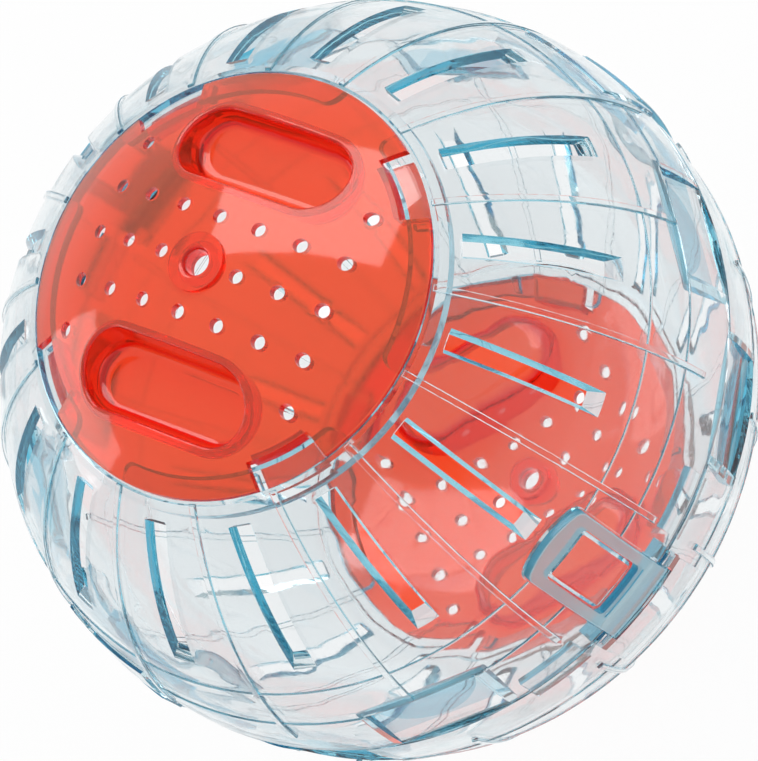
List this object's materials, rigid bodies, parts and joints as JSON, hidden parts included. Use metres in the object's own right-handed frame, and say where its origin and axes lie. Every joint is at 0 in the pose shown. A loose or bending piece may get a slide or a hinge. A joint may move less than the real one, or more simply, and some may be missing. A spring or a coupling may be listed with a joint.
{
  "type": "hamster ball",
  "caption": "Clear two-half exercise ball for a hamster, with vent slots, swing latches across the seam and red twist-in lids with finger wells.",
  "frame": {"origin": "centre of the ball, on the seam", "axes": "+Z along the ball's axis, out of the front lid; +X through a latch that is hinged on the rear half"},
  "size_m": [0.1928, 0.1928, 0.1918],
  "materials": {
    "clear_shell": "clear moulded plastic with a pale blue tint",
    "red_lid": "translucent red-orange moulded plastic",
    "clear_latch": "clear moulded plastic with a pale blue tint"
  },
  "bodies": {
    "rear_half": {"rear_half_shell": "clear_shell"},
    "front_half": {"front_half_shell": "clear_shell"},
    "front_lid": {"front_lid": "red_lid"},
    "rear_lid": {"rear_lid": "red_lid"},
    "rear_latch_a": {"rear_latch_a": "clear_latch"},
    "rear_latch_b": {"rear_latch_b": "clear_latch"},
    "front_latch_a": {"front_latch_a": "clear_latch"},
    "front_latch_b": {"front_latch_b": "clear_latch"}
  },
  "joints": [
    {"name": "halves_part", "type": "slide", "parent": "rear_half", "child": "front_half", "axis": [0, 0, 1], "range_m": [0, 0.03]},
    {"name": "front_lid_turn", "type": "hinge", "parent": "front_half", "child": "front_lid", "pos_m": [0, 0, 0.0926], "axis": [0, 0, 1], "range_deg": [0, 27.5]},
    {"name": "rear_lid_turn", "type": "hinge", "parent": "rear_half", "child": "rear_lid", "pos_m": [0, 0, -0.0926], "axis": [0, 0, -1], "range_deg": [-4, 23.5]},
    {"name": "rear_latch_a_swing", "type": "hinge", "parent": "rear_half", "child": "rear_latch_a", "pos_m": [0.0934, 0, -0.0026], "axis": [0, 1, 0], "range_deg": [0, 95]},
    {"name": "rear_latch_b_swing", "type": "hinge", "parent": "rear_half", "child": "rear_latch_b", "pos_m": [-0.0934, 0, -0.0026], "axis": [0, -1, 0], "range_deg": [0, 95]},
    {"name": "front_latch_a_swing", "type": "hinge", "parent": "front_half", "child": "front_latch_a", "pos_m": [0, 0.0934, 0.0026], "axis": [1, 0, 0], "range_deg": [0, 95]},
    {"name": "front_latch_b_swing", "type": "hinge", "parent": "front_half", "child": "front_latch_b", "pos_m": [0, -0.0934, 0.0026], "axis": [-1, 0, 0], "range_deg": [0, 95]}
  ],
  "couplings": [
    {"joint": "rear_latch_a_swing", "follows": "halves_part", "rad_per_m": 55},
    {"joint": "rear_latch_b_swing", "follows": "halves_part", "rad_per_m": 55},
    {"joint": "front_latch_a_swing", "follows": "halves_part", "rad_per_m": 55},
    {"joint": "front_latch_b_swing", "follows": "halves_part", "rad_per_m": 55}
  ]
}
